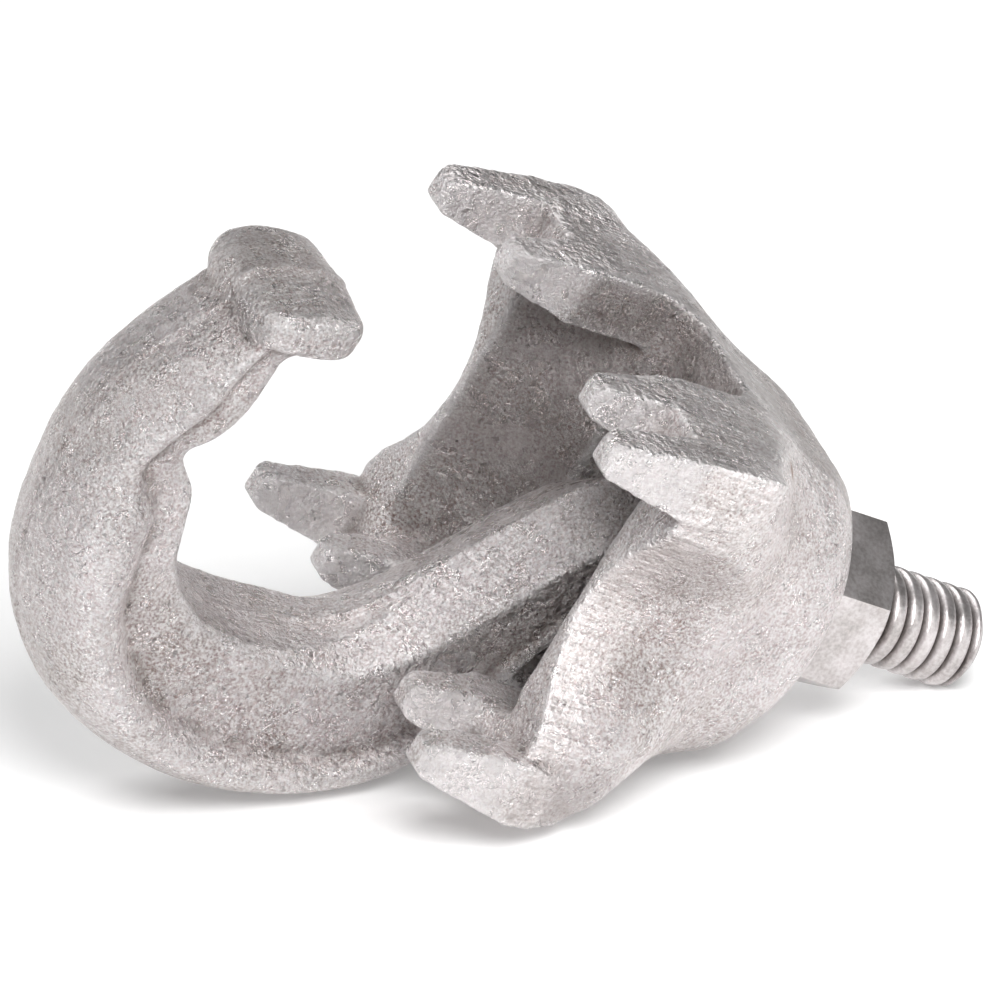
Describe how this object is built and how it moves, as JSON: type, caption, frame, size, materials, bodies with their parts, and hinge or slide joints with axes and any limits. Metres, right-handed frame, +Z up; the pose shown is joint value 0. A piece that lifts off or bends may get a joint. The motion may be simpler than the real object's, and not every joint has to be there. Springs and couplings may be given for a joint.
{
  "type": "scaffold hook clamp",
  "caption": "Cast hook clamp for a scaffold tube: a J-shaped hook with a threaded stud, a clawed saddle that slides on it, and a hex nut.",
  "frame": {"origin": "centre of the bounding box, on the ground that the clamp lies on", "axes": "+X from the hook's back towards the nut, level; +Z up. The clamp lies on the end of its stud, the back of its hook and one corner of its saddle, so its stud rises 26.9 degrees towards the hook and it leans 13.07 degrees about the stud"},
  "size_m": [0.1608, 0.0962, 0.0935],
  "materials": {
    "cast_hook": "hot-dip galvanised casting, grainy",
    "cast_saddle": "hot-dip galvanised casting, grainy",
    "plated_nut": "zinc-plated steel"
  },
  "bodies": {
    "hook_bolt": {"hook_bolt": "cast_hook"},
    "saddle": {"saddle": "cast_saddle"},
    "nut": {"hex_nut": "plated_nut"}
  },
  "joints": [
    {"name": "saddle_slide", "type": "slide", "parent": "hook_bolt", "child": "saddle", "axis": [-0.8918, 0, 0.4524], "range_m": [-0.018, 0.0092]},
    {"name": "nut_spin", "type": "hinge", "parent": "saddle", "child": "nut", "pos_m": [0.05198, 0, 0.0192], "axis": [-0.8918, 0, 0.4524], "range_deg": [-2035, 1040]}
  ],
  "couplings": [
    {"joint": "saddle_slide", "follows": "nut_spin", "m_per_rad": 0.00050532}
  ]
}
